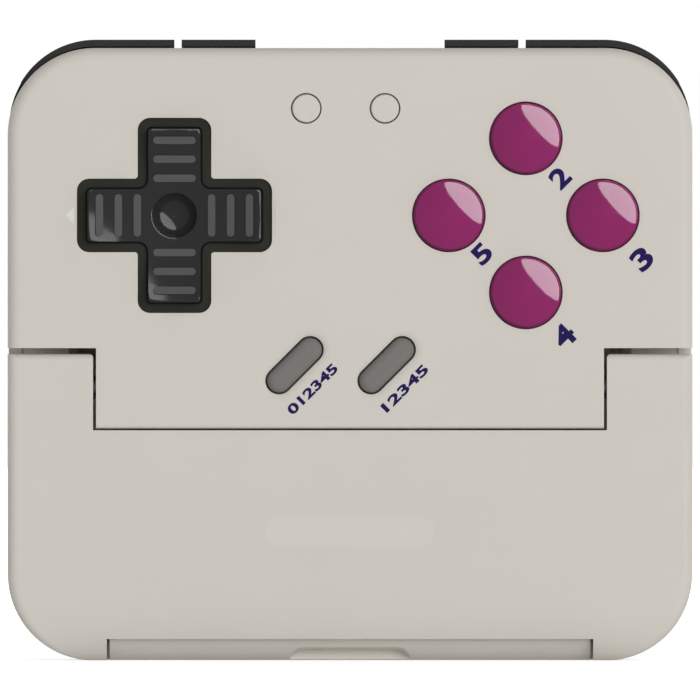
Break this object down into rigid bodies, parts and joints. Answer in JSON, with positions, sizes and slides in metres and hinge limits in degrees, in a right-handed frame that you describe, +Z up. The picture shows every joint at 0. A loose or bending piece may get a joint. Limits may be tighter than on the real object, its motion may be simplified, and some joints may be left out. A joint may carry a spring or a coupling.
{
  "type": "game controller",
  "caption": "Folding handheld game controller with a plus-shaped pad, domed buttons, slanted pill keys and shoulder keys on a spring-loaded rear phone clamp.",
  "frame": {"origin": "middle of the base, which the controller stands on", "axes": "+X to the controller's right as seen from its front, +Y to its back, +Z up; the buttons face -Y"},
  "size_m": [0.08, 0.0252, 0.0727],
  "materials": {
    "casing": "fine matt texture",
    "function_key": "satin",
    "plaque": "gloss",
    "dpad_gloss": "gloss",
    "dpad_band": "matt",
    "grip_bar": "matt",
    "purple_button": "high gloss",
    "pill_key": "satin",
    "shoulder_key": "satin",
    "pad_rubber": "matt",
    "silicone": "matt",
    "pivot_plastic": "satin",
    "circuit_board": "satin",
    "chip": "matt",
    "switch": "matt",
    "socket_metal": "satin",
    "battery_pouch": "satin foil",
    "screw_steel": "satin",
    "pin_steel": "satin",
    "spring_steel": "satin"
  },
  "bodies": {
    "head": {"head_front_shell": "casing", "head_rear_shell": "casing", "head_screws": "screw_steel", "head_pad": "pad_rubber", "dpad_surround": "dpad_band", "dpad_membrane": "silicone", "face_membrane": "silicone", "pill_membrane": "silicone", "tact_switches": "switch", "main_board": "circuit_board", "board_chips": "chip", "charge_port": "socket_metal"},
    "dpad_rocker": {"dpad_pivot": "pivot_plastic"},
    "dpad": {"dpad_key": "dpad_gloss", "dpad_grip_bars": "grip_bar"},
    "face_top": {"face_button_top": "purple_button"},
    "face_right": {"face_button_right": "purple_button"},
    "face_bottom": {"face_button_bottom": "purple_button"},
    "face_left": {"face_button_left": "purple_button"},
    "pill_left": {"pill_key_left": "pill_key"},
    "pill_right": {"pill_key_right": "pill_key"},
    "function_left": {"function_key_left": "function_key"},
    "function_right": {"function_key_right": "function_key"},
    "lower_cover": {"lower_cover_shell": "casing", "lower_cover_inner": "casing", "cover_screws": "screw_steel", "plaque": "plaque", "phone_rest_pad": "pad_rubber", "mid_hinge_pins": "pin_steel", "mid_hinge_springs": "spring_steel", "bottom_hinge_pins": "pin_steel", "bottom_hinge_springs": "spring_steel"},
    "rear_clamp": {"clamp_front_shell": "casing", "clamp_rear_shell": "casing", "clamp_barrel": "casing", "barrel_screws": "screw_steel", "clamp_screws": "screw_steel", "clamp_pad": "pad_rubber", "battery": "battery_pouch", "shoulder_board": "circuit_board", "shoulder_domes": "silicone"},
    "shoulder_left_outer": {"shoulder_key_left_outer": "shoulder_key"},
    "shoulder_left_inner": {"shoulder_key_left_inner": "shoulder_key"},
    "shoulder_right_inner": {"shoulder_key_right_inner": "shoulder_key"},
    "shoulder_right_outer": {"shoulder_key_right_outer": "shoulder_key"}
  },
  "joints": [
    {"name": "cover_fold", "type": "hinge", "parent": "head", "child": "lower_cover", "pos_m": [0, -0.0064, 0.032], "axis": [1, 0, 0], "range_deg": [0, 30], "stiffness_Nm_per_rad": 0.3, "springref_deg": -28.65, "deforming": ["mid_hinge_springs"]},
    {"name": "clamp_open", "type": "hinge", "parent": "lower_cover", "child": "rear_clamp", "pos_m": [0, -0.0028, 0.0065], "axis": [-1, 0, 0], "range_deg": [0, 30], "stiffness_Nm_per_rad": 0.2, "springref_deg": -28.65, "deforming": ["bottom_hinge_springs"]},
    {"name": "dpad_up_down", "type": "hinge", "parent": "head", "child": "dpad_rocker", "pos_m": [-0.0205, -0.0094, 0.052], "axis": [1, 0, 0], "range_deg": [-3.5, 3.5], "stiffness_Nm_per_rad": 0.05, "deforming": ["dpad_membrane"]},
    {"name": "dpad_left_right", "type": "hinge", "parent": "dpad_rocker", "child": "dpad", "pos_m": [-0.0205, -0.0094, 0.052], "axis": [0, 0, 1], "range_deg": [-3.5, 3.5], "stiffness_Nm_per_rad": 0.05, "deforming": ["dpad_membrane"]},
    {"name": "face_press_top", "type": "slide", "parent": "head", "child": "face_top", "axis": [0, 1, 0], "range_m": [0, 0.0012], "stiffness_N_per_m": 600, "deforming": ["face_membrane"]},
    {"name": "face_press_right", "type": "slide", "parent": "head", "child": "face_right", "axis": [0, 1, 0], "range_m": [0, 0.0012], "stiffness_N_per_m": 600, "deforming": ["face_membrane"]},
    {"name": "face_press_bottom", "type": "slide", "parent": "head", "child": "face_bottom", "axis": [0, 1, 0], "range_m": [0, 0.0012], "stiffness_N_per_m": 600, "deforming": ["face_membrane"]},
    {"name": "face_press_left", "type": "slide", "parent": "head", "child": "face_left", "axis": [0, 1, 0], "range_m": [0, 0.0012], "stiffness_N_per_m": 600, "deforming": ["face_membrane"]},
    {"name": "pill_press_left", "type": "slide", "parent": "head", "child": "pill_left", "axis": [0, 1, 0], "range_m": [0, 0.0008], "stiffness_N_per_m": 600, "deforming": ["pill_membrane"]},
    {"name": "pill_press_right", "type": "slide", "parent": "head", "child": "pill_right", "axis": [0, 1, 0], "range_m": [0, 0.0008], "stiffness_N_per_m": 600, "deforming": ["pill_membrane"]},
    {"name": "function_press_left", "type": "slide", "parent": "head", "child": "function_left", "axis": [0, 1, 0], "range_m": [0, 0.0003], "stiffness_N_per_m": 1500, "deforming": ["tact_switches"]},
    {"name": "function_press_right", "type": "slide", "parent": "head", "child": "function_right", "axis": [0, 1, 0], "range_m": [0, 0.0003], "stiffness_N_per_m": 1500, "deforming": ["tact_switches"]},
    {"name": "shoulder_press_left_outer", "type": "slide", "parent": "rear_clamp", "child": "shoulder_left_outer", "axis": [0, -1, 0], "range_m": [0, 0.0009], "stiffness_N_per_m": 900, "deforming": ["shoulder_domes"]},
    {"name": "shoulder_press_left_inner", "type": "slide", "parent": "rear_clamp", "child": "shoulder_left_inner", "axis": [0, -1, 0], "range_m": [0, 0.0009], "stiffness_N_per_m": 900, "deforming": ["shoulder_domes"]},
    {"name": "shoulder_press_right_inner", "type": "slide", "parent": "rear_clamp", "child": "shoulder_right_inner", "axis": [0, -1, 0], "range_m": [0, 0.0009], "stiffness_N_per_m": 900, "deforming": ["shoulder_domes"]},
    {"name": "shoulder_press_right_outer", "type": "slide", "parent": "rear_clamp", "child": "shoulder_right_outer", "axis": [0, -1, 0], "range_m": [0, 0.0009], "stiffness_N_per_m": 900, "deforming": ["shoulder_domes"]}
  ],
  "couplings": [
    {"joint": "clamp_open", "follows": "cover_fold", "ratio": 1}
  ]
}
